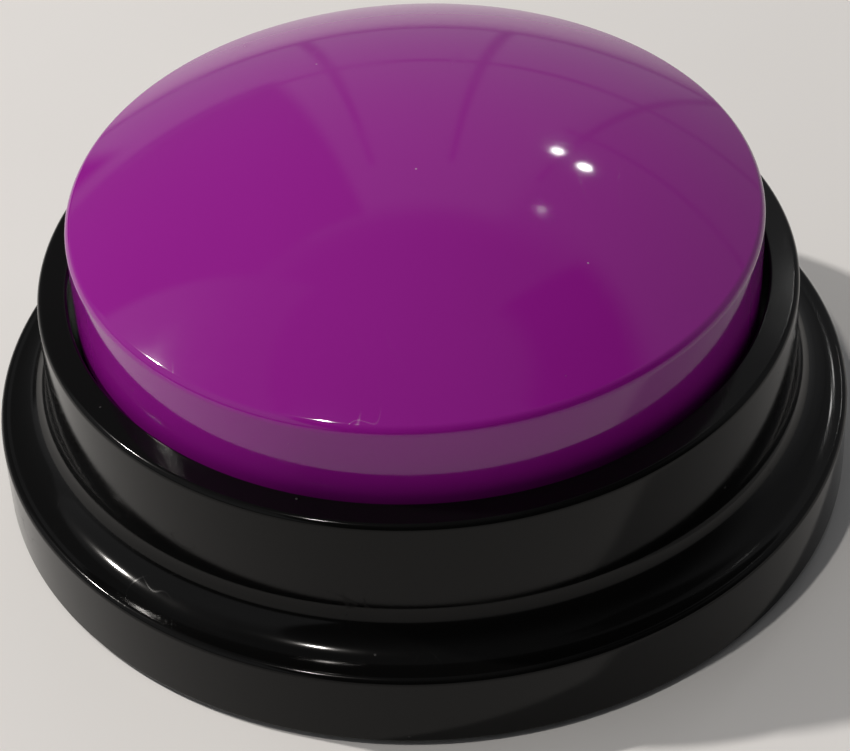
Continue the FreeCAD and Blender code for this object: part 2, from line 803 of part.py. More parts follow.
def tab_spans(gap):
    """Front and back of the two door tabs, grown by a gap."""
    return [
        ("bay_inner_front + fit_gap - %s" % gap, "bay_inner_front + fit_gap + tab_width + %s" % gap),
        ("bay_inner_back - fit_gap - tab_width - %s" % gap, "bay_inner_back - fit_gap + %s" % gap),
    ]


def make_base_plate():
    """The bottom plate with the battery bay, speaker seat and grille, cups and foot recesses."""
    body = new_body("base_plate")
    raise_plate_blocks(body)
    hollow_battery_bay(body)

    speaker_pit = new_sketch(body, "XY_Plane", "plate_top")
    pocket(body, round_hole(speaker_pit, "0", "speaker_middle", "speaker_ring_inner"),
           "speaker_rim_height")
    lip = new_sketch(body, "XY_Plane", "speaker_rim_top")
    rectangle(lip, "-slot_half_width", "slot_half_width", "speaker_middle - speaker_ring_outer + fit_gap",
              "speaker_middle - speaker_radius + door_ledge")
    pad(body, lip, "speaker_rim_height")
    lip_relief = new_sketch(body, "XY_Plane", "speaker_rim_top")
    rectangle(lip_relief, "-slot_half_width", "slot_half_width",
              "speaker_middle - speaker_ring_inner", "speaker_middle - speaker_radius + door_ledge")
    pocket(body, lip_relief, "stop_gap")

    grille = new_sketch(body, "XY_Plane", "foot_drop")
    pocket(body, round_holes(grille, grille_places(), "grille_hole_radius"), "plate_thickness")
    counterbores = new_sketch(body, "XY_Plane", "foot_drop")
    round_holes(counterbores, boss_places(), "case_head_radius + small_rounding")
    pocket(body, counterbores, "case_seat - foot_drop")
    shank_holes = new_sketch(body, "XY_Plane", "foot_drop")
    round_holes(shank_holes, boss_places(), "case_shank_radius + small_rounding")
    pocket(body, shank_holes, "boss_bottom - foot_drop")
    foot_recesses = new_sketch(body, "XY_Plane", "foot_drop")
    pocket(body, round_holes(foot_recesses, foot_places(), "foot_radius + thread_gap"), "foot_sink")
    speaker_holes = new_sketch(body, "XY_Plane", "plate_top - plate_thickness / 2")
    round_holes(speaker_holes, speaker_screw_places(), "board_shank_radius + thread_gap")
    pocket(body, speaker_holes, "plate_thickness / 2 + speaker_rim_height")
    return body


def make_battery_door():
    """The battery door with its latch tongue, hook tabs and cell ribs."""
    body = new_body("battery_door")
    pad(body, door_outline(new_sketch(body, "XY_Plane", "foot_drop"), "0"), "door_thickness")
    tongue = new_sketch(body, "XY_Plane", "foot_drop")
    rectangle(tongue, "-tongue_end + fit_gap", "-tongue_start - fit_gap",
              "tongue_front + fit_gap", "tongue_back - fit_gap")
    pad(body, tongue, "tongue_thickness")
    for front, back in tab_spans("0"):
        root = new_sketch(body, "XY_Plane", "foot_drop")
        rectangle(root, "bay_half_length - fit_gap - tab_root", "bay_half_length - fit_gap", front, back)
        pad(body, root, "tab_top - foot_drop")
        tab = new_sketch(body, "XY_Plane", "tab_bottom")
        rectangle(tab, "bay_half_length - fit_gap - tab_root", "bay_half_length + tab_reach", front, back)
        pad(body, tab, "tab_thickness")
    for side in ("", "-"):
        rib = new_sketch(body, "XY_Plane", "foot_drop")
        middle = side + "door_rib_spread"
        rectangle(rib, middle + " - door_ledge", middle + " + door_ledge",
                  "bay_inner_front + door_ledge", "bay_inner_back - door_ledge")
        pad(body, rib, "door_thickness + door_rib_height")
    head_pocket = new_sketch(body, "XY_Plane", "foot_drop")
    round_hole(head_pocket, "-door_screw_x", "bay_middle", "door_head_radius + small_rounding")
    pocket(body, head_pocket, "door_seat - foot_drop")
    shank_hole = new_sketch(body, "XY_Plane", "foot_drop")
    round_hole(shank_hole, "-door_screw_x", "bay_middle", "door_shank_radius + fit_gap")
    pocket(body, shank_hole, "tongue_thickness")
    return body


# ---------------------------------------------------------------- screws and feet

def screw(x, y, seat, head_radius, head_height, shank_radius, shank_length, head_up=False):
    """A cross-head screw whose head stands on its seat and whose shank goes the other way."""
    sense = "+" if head_up else "-"
    away = "-" if head_up else "+"
    crown = "%s %s %s" % (seat, sense, head_height)
    tip = "%s %s %s" % (seat, away, shank_length)
    recess = "%s %s %s / 2" % (seat, sense, head_height)
    arm = "%s * %g" % (head_radius, CROSS_SHARE)
    low_head, high_head = (seat, crown) if head_up else (crown, seat)
    low_shank, high_shank = (tip, seat) if head_up else (seat, tip)
    low_cross, high_cross = (recess, crown) if head_up else (crown, recess)
    head = cylinder(head_radius, low_head, high_head, x, y)
    shank = cylinder(shank_radius, low_shank, high_shank, x, y)
    blades = []
    for across, along in ((arm, "contact_wire"), ("contact_wire", arm)):
        blades.append(box("%s - %s" % (x, across), "%s + %s" % (x, across),
                          "%s - %s" % (y, along), "%s + %s" % (y, along), low_cross, high_cross))
    return cut(fuse([head, shank]), blades)


def make_fasteners():
    """The case, board and speaker screws, each set as one sub-part."""
    case_sizes = ("case_seat", "case_head_radius", "case_head_height", "case_shank_radius",
                  "case_shank_length")
    keep(group([screw(x, y, *case_sizes) for x, y in boss_places()]), "case_screws")
    board_sizes = ("board_under", "board_head_radius", "board_head_height", "board_shank_radius",
                   "board_shank_length")
    keep(group([screw(x, y, *board_sizes) for x, y in board_screw_places()]), "board_screws")
    speaker_sizes = ("speaker_rim_top", "speaker_head_radius", "board_head_height",
                     "board_shank_radius", "speaker_shank_length")
    keep(group([screw(x, y, *speaker_sizes, head_up=True) for x, y in speaker_screw_places()]),
         "speaker_screws")


def make_door_screw():
    """The captive screw of the battery door and the washer that keeps it there."""
    keep(screw("-door_screw_x", "bay_middle", "door_seat", "door_head_radius", "door_head_height",
               "door_shank_radius", "door_shank_length"), "door_screw")
    low = "tongue_top + stop_gap"
    high = low + " + washer_thickness"
    ring = cylinder("door_head_radius", low, high, "-door_screw_x", "bay_middle")
    bore = cylinder("door_shank_radius + stop_gap", low, high, "-door_screw_x", "bay_middle")
    keep(cut(ring, [bore]), "door_screw_washer")


def make_rubber_feet():
    """Four rubber pads sunk in the underside."""
    pads = [cylinder("foot_radius", "0", "foot_drop + foot_sink", x, y) for x, y in foot_places()]
    keep(group(pads), "rubber_feet")


# ---------------------------------------------------------------- springs

def coil(radius, rise, turns, wire, lean="0"):
    """A wire coil about the Z axis, its middle line starting at height zero."""
    helix = document.addObject("Part::Helix", "Coil")
    helix.SegmentLength = 1
    bind(helix, {"Radius": radius, "Height": rise, "Pitch": "(%s) / (%s)" % (rise, turns), "Angle": lean})
    section = document.addObject("Part::Circle", "Wire")
    bind(section, {"Radius": wire})
    put(section, radius, turn=FreeCAD.Rotation(Vector(1, 0, 0), 90))
    document.recompute()
    swept = document.addObject("Part::Sweep", "Wound")
    swept.Sections = [section]
    swept.Spine = (helix, ["Edge%d" % (number + 1) for number in range(len(helix.Shape.Edges))])
    swept.Solid = True
    swept.Frenet = True
    return swept


def make_return_springs():
    """Three coil springs that lift the cap, each about its own spigot on the deck."""
    for side, angle in SPRING_SIDES.items():
        spring = coil("spring_radius", "spring_length - 2 * spring_wire", "spring_turns", "spring_wire")
        x, y = around("spring_circle", angle)
        put(spring, x, y, "deck_top + spring_wire")
        keep(spring, "return_spring_" + side)


# ---------------------------------------------------------------- cells and contacts

def make_cell(label, y, facing):
    """One AAA cell lying along X, its raised end toward plus or minus X."""
    body = new_body(label)
    outline(new_sketch(body, "XZ_Plane"), [
        ("0", "0"),
        ("cell_radius", "0"),
        ("cell_radius", "cell_length - cell_button_height"),
        ("cell_button_radius", "cell_length - cell_button_height"),
        ("cell_button_radius", "cell_length"),
        ("0", "cell_length"),
    ])
    turn_about_axis(body, body.Group[-1])
    round_edges(body, "small_rounding", [
        ("cell_radius", "0"),
        ("cell_radius", "cell_length - cell_button_height"),
        ("cell_button_radius", "cell_length"),
    ])
    sign = "" if facing > 0 else "-"
    start = sign + "(contact_face - contact_bump - cell_length)"
    put(body, start, y, "cell_axis_height", FreeCAD.Rotation(Vector(0, 1, 0), 90 * facing))


def contact_plate(side, front, back):
    """The flat sheet of a contact against one end wall of the bay; side is 1 or -1."""
    ends = ("contact_face", "bay_half_length") if side > 0 else ("-bay_half_length", "-contact_face")
    return box(ends[0], ends[1], front, back, "contact_bottom", "contact_top")


def contact_tab(y):
    """The solder tab that rises through the bay ceiling."""
    return box("contact_face", "bay_half_length", y + " - contact_half_tab", y + " + contact_half_tab",
               "contact_top - contact_thickness", "contact_tab_top")


def contact_button(side, y):
    """The raised spot that meets a cell's positive end."""
    spot = document.addObject("Part::Cylinder", "Spot")
    bind(spot, {"Radius": "cell_button_radius", "Height": "contact_bump + contact_thickness / 2"})
    start = "contact_face + contact_thickness / 2" if side > 0 else "-contact_face - contact_thickness / 2"
    return put(spot, start, y, "cell_axis_height", FreeCAD.Rotation(Vector(0, 1, 0), -90 * side))


def contact_coil(side, y):
    """The small cone spring that pushes on a cell's flat end."""
    spring = coil("contact_height / 2 - contact_thickness",
                  "contact_spring_length - contact_wire - stop_gap",
                  "contact_turns", "contact_wire", "contact_lean")
    start = "%d * (contact_face - stop_gap)" % side
    return put(spring, start, y, "cell_axis_height", FreeCAD.Rotation(Vector(0, 1, 0), -90 * side))


def make_contacts():
    """The two lead contacts on the right and the bridge between the cells on the left."""
    half = "contact_width / 2"
    keep(fuse([
        contact_plate(1, "front_cell - " + half, "front_cell + " + half),
        contact_tab("front_cell"),
        contact_button(1, "front_cell"),
    ]), "positive_contact")
    keep(fuse([
        contact_plate(1, "back_cell - " + half, "back_cell + " + half),
        contact_tab("back_cell"),
        contact_coil(1, "back_cell"),
    ]), "negative_contact")
    keep(fuse([
        contact_plate(-1, "front_cell - " + half, "back_cell + " + half),
        contact_button(-1, "back_cell"),
        contact_coil(-1, "front_cell"),
    ]), "bridge_contact")


# ---------------------------------------------------------------- the board and the switch

def switch_pin_places():
    """Lower left corners of the four switch pins."""
    places = []
    for x in ("switch_half_width", "-switch_half_width - contact_thickness"):
        for y in ("pin_spread", "-pin_spread - pin_width"):
            places.append((x, y))
    return places


def make_circuit_board():
    """The board under the deck, with its screw holes and switch pin holes."""
    body = new_body("circuit_board")
    sheet = new_sketch(body, "XY_Plane", "board_under")
    rectangle(sheet, "-board_half_width", "board_half_width", "-board_front", "board_back")
    pad(body, sheet, "board_thickness")
    holes = new_sketch(body, "XY_Plane", "board_under")
    pocket(body, round_holes(holes, board_screw_places(), "board_shank_radius + fit_gap"),
           "board_thickness")
    pins = new_sketch(body, "XY_Plane", "board_under")
    for x, y in switch_pin_places():
        rectangle(pins, x + " - thread_gap", x + " + contact_thickness + thread_gap",
                  y + " - thread_gap", y + " + pin_width + thread_gap")
    pocket(body, pins, "board_thickness")
    return body


def make_board_parts():
    """What is soldered to the board: the sound chip's cover, small parts and a capacitor."""
    keep(cone("chip_cover_crown", "chip_cover_radius", "board_under - board_gap / 2", "board_under",
              "-chip_cover_side", "chip_cover_back"), "chip_cover")
    chips = []
    for step in range(CHIP_COUNT):
        x = "chip_row_side + %d * chip_pitch" % (step - CHIP_COUNT // 2)
        chips.append(box(x, x + " + chip_width", "chip_row_back", "chip_row_back + chip_length",
                         "board_under - chip_height", "board_under"))
    keep(group(chips), "board_chips")
    keep(cylinder("capacitor_radius", "board_under - capacitor_length", "board_under",
                  "capacitor_side", "-capacitor_front"), "capacitor")


def make_switch():
    """The push switch: body, metal cover, plunger and pins."""
    half = "switch_half_width"
    shell = box("-" + half, half, "-" + half, half, "board_top", "board_top + switch_body_height")
    well = cylinder("plunger_radius + plunger_gap", "plunger_foot - plunger_travel - stop_gap",
                    "board_top + switch_body_height")
    keep(cut(shell, [well]), "switch_body")
    low = "board_top + switch_body_height"
    high = low + " + switch_cover_thickness"
    lid = box("-" + half, half, "-" + half, half, low, high)
    keep(cut(lid, [cylinder("plunger_radius + plunger_gap", low, high)]), "switch_cover")
    keep(cylinder("plunger_radius", "plunger_foot", "switch_top"), "switch_plunger")
    pins = []
    for x, y in switch_pin_places():
        pins.append(box(x, x + " + contact_thickness", y, y + " + pin_width",
                        "board_under - board_thickness / 2", "board_top + board_standoff"))
    keep(group(pins), "switch_pins")


# ---------------------------------------------------------------- the speaker

def turned_speaker_part(label, corners):
    """A speaker piece turned about the speaker's own upright axis."""
    body = new_body(label)
    turn_about_axis(body, outline(new_sketch(body, "XZ_Plane"), corners))
    put(body, "0", "speaker_middle", "plate_top")
    return body


def make_speaker():
    """The speaker: basket, cone, coil, magnet and terminal strip."""
    turned_speaker_part("speaker_basket", [
        ("speaker_cone_radius", "0"),
        ("speaker_radius", "0"),
        ("speaker_radius", "speaker_rim_height"),
        ("speaker_cone_radius + speaker_sheet", "speaker_rim_height"),
        ("speaker_basket_radius", "speaker_basket_height"),
        ("coil_radius + speaker_sheet", "speaker_basket_height"),
        ("coil_radius + speaker_sheet", "speaker_basket_height - speaker_sheet"),
        ("speaker_basket_radius - speaker_sheet", "speaker_basket_height - speaker_sheet"),
        ("speaker_cone_radius", "speaker_rim_height"),
    ])
    turned_speaker_part("speaker_cone", [
        ("0", "speaker_rim_height + speaker_sheet"),
        ("coil_radius", "speaker_sheet"),
        ("speaker_cone_radius - fit_gap", "fit_gap"),
        ("speaker_cone_radius - fit_gap", "speaker_sheet"),
        ("coil_radius", "speaker_sheet + small_rounding"),
        ("0", "speaker_rim_height + speaker_sheet + small_rounding"),
    ])
    turned_speaker_part("speaker_coil", [
        ("coil_radius - speaker_sheet", "speaker_rim_height + small_rounding"),
        ("coil_radius", "speaker_rim_height"),
        ("coil_radius", "speaker_basket_height"),
        ("coil_radius - speaker_sheet", "speaker_basket_height"),
    ])
    magnet = turned_speaker_part("speaker_magnet", [
        ("0", "speaker_basket_height"),
        ("magnet_radius", "speaker_basket_height"),
        ("magnet_radius", "speaker_basket_height + magnet_height"),
        ("0", "speaker_basket_height + magnet_height"),
    ])
    round_edges(magnet, "small_rounding", [
        ("magnet_radius", "speaker_basket_height + magnet_height"),
    ])
    front = "speaker_middle + magnet_radius + fit_gap"
    keep(box("-terminal_half_width", "terminal_half_width", front, front + " + terminal_depth",
             "speaker_basket_top", "terminal_top"), "speaker_terminals")


# ---------------------------------------------------------------- the leads

def bent_path(points, bend):
    """Straight runs through the points, joined by tangent arcs of one bend radius."""
    edges = []
    start = points[0]
    for before, corner, after in zip(points, points[1:], points[2:]):
        inward = (corner - before).normalize()
        outward = (after - corner).normalize()
        turn = inward.getAngle(outward)
        setback = bend * math.tan(turn / 2)
        arc_start = corner - inward * setback
        arc_end = corner + outward * setback
        centre_line = (outward - inward).normalize()
        centre = corner + centre_line * (bend / math.cos(turn / 2))
        arc_middle = centre - centre_line * bend
        edges.append(Part.LineSegment(start, arc_start).toShape())
        edges.append(Part.Arc(arc_start, arc_middle, arc_end).toShape())
        start = arc_end
    edges.append(Part.LineSegment(start, points[-1]).toShape())
    return Part.Wire(edges)


def make_lead(label, stops):
    """One insulated lead through the given stops, named in the sheet's sizes."""
    points = [Vector(value(x), value(y), value(z)) for x, y, z in stops]
    path = bent_path(points, value("lead_bend"))
    direction = points[1] - points[0]
    section = Part.Wire([Part.Circle(points[0], direction, value("lead_radius")).toShape()])
    lead = document.addObject("Part::Feature", label)
    lead.Shape = path.makePipeShell([section], True, False)
    keep(lead, label)
    expected = math.pi * value("lead_radius") ** 2 * path.Length
    if abs(lead.Shape.Volume - expected) > 0.01 * expected:
        raise ValueError("the lead %s is not swept whole" % label)


def make_leads():
    """Two battery leads over the bay and two speaker leads up to the board."""
    turn_x = "board_half_width + lead_bend + lead_radius"
    for label, cell in (("battery_lead_positive", "front_cell"),
                        ("battery_lead_negative", "back_cell")):
        landing = cell + " - lead_landing"
        make_lead(label, [
            ("contact_face", cell, "lead_height"),
            (turn_x, cell, "lead_height"),
            (turn_x, landing, "lead_height"),
            ("board_half_width - lead_inset", landing, "board_under - lead_radius"),
        ])
    for label, side in (("speaker_lead_positive", ""), ("speaker_lead_negative", "-")):
        row = "speaker_middle + speaker_basket_radius - fit_gap"
        make_lead(label, [
            (side + "speaker_lead_start", row, "terminal_top"),
            (side + "speaker_lead_start", row, "magnet_top + lead_bend"),
            (side + "speaker_lead_spread", row, "magnet_top + lead_bend"),
            (side + "speaker_lead_spread", row, "board_under"),
        ])


# ---------------------------------------------------------------- build, check and write

def check_everything():
    """Stop if anything in the document failed or any sub-part is empty or not valid."""
    for thing in document.Objects:
        if "Invalid" in thing.State or "Error" in thing.State:
            raise ValueError("%s did not rebuild" % thing.Label)
    for subpart in subparts:
        if subpart.Shape.isNull() or not subpart.Shape.isValid() or not subpart.Shape.Solids:
            raise ValueError("%s has no valid shape" % subpart.Label)


make_upper_housing()
make_button_cap()
make_base_plate()
make_battery_door()
make_fasteners()
make_door_screw()
make_rubber_feet()
make_return_springs()
make_cell("battery_front", "front_cell", 1)
make_cell("battery_back", "back_cell", -1)
make_contacts()
make_circuit_board()
make_board_parts()
make_switch()
make_speaker()
make_leads()
document.recompute()
check_everything()

os.makedirs("parts", exist_ok=True)
for subpart in subparts:
    subpart.Shape.exportStep("parts/%s.step" % subpart.Label)
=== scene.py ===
import math

import bmesh
import bpy
import numpy as np
from mathutils import Matrix, Vector


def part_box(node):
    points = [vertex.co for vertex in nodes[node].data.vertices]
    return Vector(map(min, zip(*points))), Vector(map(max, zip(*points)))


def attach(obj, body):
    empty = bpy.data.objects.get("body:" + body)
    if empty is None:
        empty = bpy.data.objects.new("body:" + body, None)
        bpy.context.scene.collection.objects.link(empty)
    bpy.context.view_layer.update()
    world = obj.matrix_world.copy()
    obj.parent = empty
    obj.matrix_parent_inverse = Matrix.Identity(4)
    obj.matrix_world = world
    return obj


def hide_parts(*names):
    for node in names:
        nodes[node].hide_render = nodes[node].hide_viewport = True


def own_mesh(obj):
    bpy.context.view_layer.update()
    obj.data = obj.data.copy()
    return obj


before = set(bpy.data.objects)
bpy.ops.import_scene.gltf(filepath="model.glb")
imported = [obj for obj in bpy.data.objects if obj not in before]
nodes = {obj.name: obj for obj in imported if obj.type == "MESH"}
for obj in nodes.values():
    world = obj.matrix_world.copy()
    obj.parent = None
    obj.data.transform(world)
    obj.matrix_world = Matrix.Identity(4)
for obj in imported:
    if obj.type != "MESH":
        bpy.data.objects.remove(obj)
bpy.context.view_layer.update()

# A quiz buzzer: purple press cap, black two-step housing, and the works inside it.
# Metres, in the imported model's own frame: +Z up, the front toward -Y.
# The housing and the cap are copies of their CAD nodes whose turned outsides are made finer.
# The springs are copies of their CAD nodes, fixed to the housing.
# Every other piece is its CAD node with a procedural material.

scene = bpy.context.scene

MM = 0.001
TINY = 1e-9

# The turned outsides of the two big mouldings, in metres.
BASE_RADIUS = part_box("upper_housing")[1][0]
FOOT_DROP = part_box("upper_housing")[0][2]
RING_CREST = 24.2 * MM
FLANGE_WIDTH = 5.4 * MM
FLANGE_HEIGHT = 9.1 * MM
RING_FOOT_RADIUS = BASE_RADIUS - FLANGE_WIDTH
RING_TOP_RADIUS = RING_FOOT_RADIUS - 0.3 * MM
RING_HEIGHT = RING_CREST - 0.3 * MM
RING_BORE = RING_TOP_RADIUS - 3.1 * MM
CHANNEL_FLOOR = RING_CREST - 8.8 * MM
DECK_RIM_RADIUS = RING_BORE - 3.5 * MM
DECK_TOP = 21.0 * MM
STEP_FILLET = 4.5 * MM
EDGE_ROUNDING = 0.7 * MM
SMALL_ROUNDING = 0.3 * MM

CAP_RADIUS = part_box("button_cap")[1][0]
DOME_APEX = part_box("button_cap")[1][2]
CAP_WALL = 2.0 * MM
DOME_RISE = 9.3 * MM
SKIRT_BOTTOM = CHANNEL_FLOOR + 3.05 * MM
CAP_EDGE_ROUNDING = 1.3 * MM


# ---------------------------------------------------------------- camera

CAMERA_TARGET = Vector((0.0, 0.0, 9.0 * MM))
CAMERA_DISTANCE = 302.3 * MM
CAMERA_ELEVATION = math.radians(40.87)
CAMERA_ROLL = math.radians(2.88)
CAMERA_LENS = 119.84
CAMERA_SHIFT = (0.0029, -0.0040)


def make_camera():
    """A long lens looking down at the front, with the slight tilt of a hand-held shot."""
    data = bpy.data.cameras.new("Camera")
    data.lens = CAMERA_LENS
    data.sensor_width = 36.0
    data.clip_start = 0.01
    data.clip_end = 20.0
    data.shift_x, data.shift_y = CAMERA_SHIFT
    camera = bpy.data.objects.new("Camera", data)
    scene.collection.objects.link(camera)
    away = Vector((0.0, -math.cos(CAMERA_ELEVATION), math.sin(CAMERA_ELEVATION)))
    camera.location = CAMERA_TARGET + away * CAMERA_DISTANCE
    aim = (-away).to_track_quat("-Z", "Y").to_matrix().to_4x4()
    camera.rotation_euler = (aim @ Matrix.Rotation(-CAMERA_ROLL, 4, "Z")).to_euler()
    scene.camera = camera


# ---------------------------------------------------------------- node trees

class Tree:
    """Short calls for the shader nodes that the materials and the studio share."""

    def __init__(self, tree):
        self.tree = tree

    def node(self, kind, inputs=None, **settings):
        """One node with its settings made and its inputs set or linked."""
        made = self.tree.nodes.new("ShaderNode" + kind)
        for name, setting in settings.items():
            setattr(made, name, setting)
        for socket, given in (inputs or {}).items():
            self.feed(made.inputs[socket], given)
        return made

    def feed(self, socket, given):
        """Link a socket, or set it where a plain value is given."""
        if isinstance(given, bpy.types.NodeSocket):
            self.tree.links.new(given, socket)
        else:
            socket.default_value = given

    def sum(self, kind, first, second=0.0):
        """One step of arithmetic."""
        return self.node("Math", {0: first, 1: second}, operation=kind).outputs[0]

    def ease(self, source, low, high, start=0.0, end=1.0):
        """A soft step from start to end while the source goes from low to high."""
        made = self.node("MapRange", {"Value": source, "From Min": low, "From Max": high,
                                      "To Min": start, "To Max": end}, interpolation_type="SMOOTHSTEP")
        return made.outputs["Result"]

    def blend(self, share, first, second):
        """Two colours mixed by a share."""
        made = self.node("Mix", {0: share, 6: first, 7: second}, data_type="RGBA")
        return made.outputs[2]


class Finish(Tree):
    """A material, its main shader, and texture calls whose grain is given in millimetres."""

    def __init__(self, name, roughness, metallic=0.0):
        self.material = bpy.data.materials.new(name)
        self.material.use_nodes = True
        super().__init__(self.material.node_tree)
        self.shader = self.tree.nodes["Principled BSDF"]
        self.shader.inputs["Roughness"].default_value = roughness
        self.shader.inputs["Metallic"].default_value = metallic
        self.place = self.node("TexCoord").outputs["Object"]
        self.relief = None

    def set(self, socket, given):
        self.feed(self.shader.inputs[socket], given)

    def moved(self, offset=(0.0, 0.0, 0.0), stretch=(1.0, 1.0, 1.0), turn=0.0):
        """Object coordinates shifted, turned about the upright and stretched."""
        made = self.node("Mapping", {"Vector": self.place, "Location": offset,
                                     "Rotation": (0.0, 0.0, turn), "Scale": stretch})
        return made.outputs["Vector"]

    def noise(self, grain, detail=2.0, place=None):
        """Cloudy noise whose blobs are about one grain across."""
        made = self.node("TexNoise", {"Vector": place or self.place, "Scale": 1.0 / (grain * MM),
                                      "Detail": detail})
        return made.outputs["Fac"]

    def specks(self, spacing, size, share):
        """Sparse round dots, one where a cell's random number is within the share."""
        made = self.node("TexVoronoi", {"Vector": self.place, "Scale": 1.0 / (spacing * MM)})
        dot = self.ease(made.outputs["Distance"], size * 0.5, size, 1.0, 0.0)
        chosen = self.node("SeparateColor", {0: made.outputs["Color"]}).outputs[0]
        return self.sum("MULTIPLY", dot, self.sum("LESS_THAN", chosen, share))

    def hairlines(self, turn, width=0.006):
        """Long fine scratches: the contour lines of noise drawn out along one direction."""
        place = self.moved(turn=turn, stretch=(1.0, 0.05, 1.0))
        field = self.noise(5.0, detail=0.0, place=place)
        offset = self.sum("ABSOLUTE", self.sum("SUBTRACT", field, 0.5))
        line = self.ease(offset, 0.0, width, 1.0, 0.0)
        patches = self.ease(self.noise(9.0), 0.52, 0.62)
        return self.sum("MULTIPLY", line, patches)

    def raise_by(self, height, depth, strength=1.0):
        """Add relief: the height, 0 to 1, stands depth millimetres proud."""
        inputs = {"Height": height, "Distance": depth * MM, "Strength": strength}
        if self.relief is not None:
            inputs["Normal"] = self.relief
        self.relief = self.node("Bump", inputs).outputs["Normal"]
        self.set("Normal", self.relief)


def shade(colour, amount):
    """The same colour lighter or darker, as the four numbers a socket takes."""
    return tuple(channel * amount for channel in colour) + (1.0,)


# ---------------------------------------------------------------- floor and light

FLOOR_SIZE = 6.0
FLOOR_DARK = (0.79, 0.785, 0.775, 1.0)
FLOOR_LIGHT = (0.83, 0.825, 0.815, 1.0)


def make_floor():
    """A plain pale table top with the faintest mottling."""
    bpy.ops.mesh.primitive_plane_add(size=FLOOR_SIZE, location=(0.0, 0.0, 0.0))
    floor = bpy.context.object
    floor.name = "Floor"
    finish = Finish("floor", 0.55)
    mottling = finish.noise(40.0)
    finish.set("Base Color", finish.blend(mottling, FLOOR_DARK, FLOOR_LIGHT))
    finish.set("Specular IOR Level", 0.2)
    floor.data.materials.append(finish.material)


def lamp(name, azimuth, elevation, distance, size, power, colour):
    """A round soft lamp aimed at the object from a compass direction; azimuth 0 is the back."""
    data = bpy.data.lights.new(name, "AREA")
    data.shape = "DISK"
    data.size = size
    data.energy = power
    data.color = colour
    made = bpy.data.objects.new(name, data)
    scene.collection.objects.link(made)
    turn = math.radians(azimuth)
    rise = math.radians(elevation)
    away = Vector((math.sin(turn) * math.cos(rise), math.cos(turn) * math.cos(rise), math.sin(rise)))
    made.location = away * distance
    made.rotation_euler = (-away).to_track_quat("-Z", "Y").to_euler()


WARM = (1.0, 0.95, 0.90)
NEUTRAL = (1.0, 0.99, 0.97)


# Name, azimuth and elevation in degrees, distance and width in metres, power in watts, colour.
LAMPS = [
    ("Key one", -74.6, 45.3, 1.2, 0.05, 8.6, WARM),
    ("Key two", -126.9, 68.0, 1.2, 0.05, 3.4, WARM),
    ("Back one", 22.5, 38.5, 1.5, 0.036, 0.16, NEUTRAL),
    ("Back two", 27.8, 39.5, 1.5, 0.044, 0.24, NEUTRAL),
    ("Back three", 29.0, 53.0, 1.5, 0.016, 0.020, NEUTRAL),
]


def make_lamps():
    """Two key lamps on the left that catch the rims, and three small ones at the back right."""
    for settings in LAMPS:
        lamp(*settings)


# The room as soft-edged panels: spans in degrees of azimuth and elevation, and a brightness.
BACK_WALL = {"value": 0.39, "sides": (-28.0, 22.0), "heights": (-12.0, 57.0), "soft": 3.0}
LEFT_SCREEN = {"value": 0.155, "sides": (-62.0, -12.0), "heights": (13.0, 57.0), "soft": 1.2}
SIDE_WINDOW = {"sides": (-160.0, -78.0), "heights": (8.0, 66.0), "soft": 1.5}
SIDE_WINDOW_SLANT = 0.593
LOW_SHADOW = {"value": 0.05, "sides": (-45.0, -27.0), "heights": (-2.0, 9.0), "soft": 2.0}
HIGH_SHADOW = {"value": 0.04, "sides": (45.0, 110.0), "heights": (56.0, 73.0), "soft": 3.0}

# Dark joints between the panels of the back wall.
JOINT_BRIGHTNESS = 0.20
JOINT_HALF_WIDTH = 0.5
JOINT_SOFTNESS = 0.4
UPRIGHT_JOINTS = (-7.0, 7.0, 23.0)
UPRIGHT_JOINT_HEIGHTS = (-6.0, 46.0)
LEVEL_JOINTS = ((14.7, (-30.0, 60.0)), (31.0, (20.0, 60.0)))

ROOM_TINT = (0.98, 0.98, 1.0, 1.0)


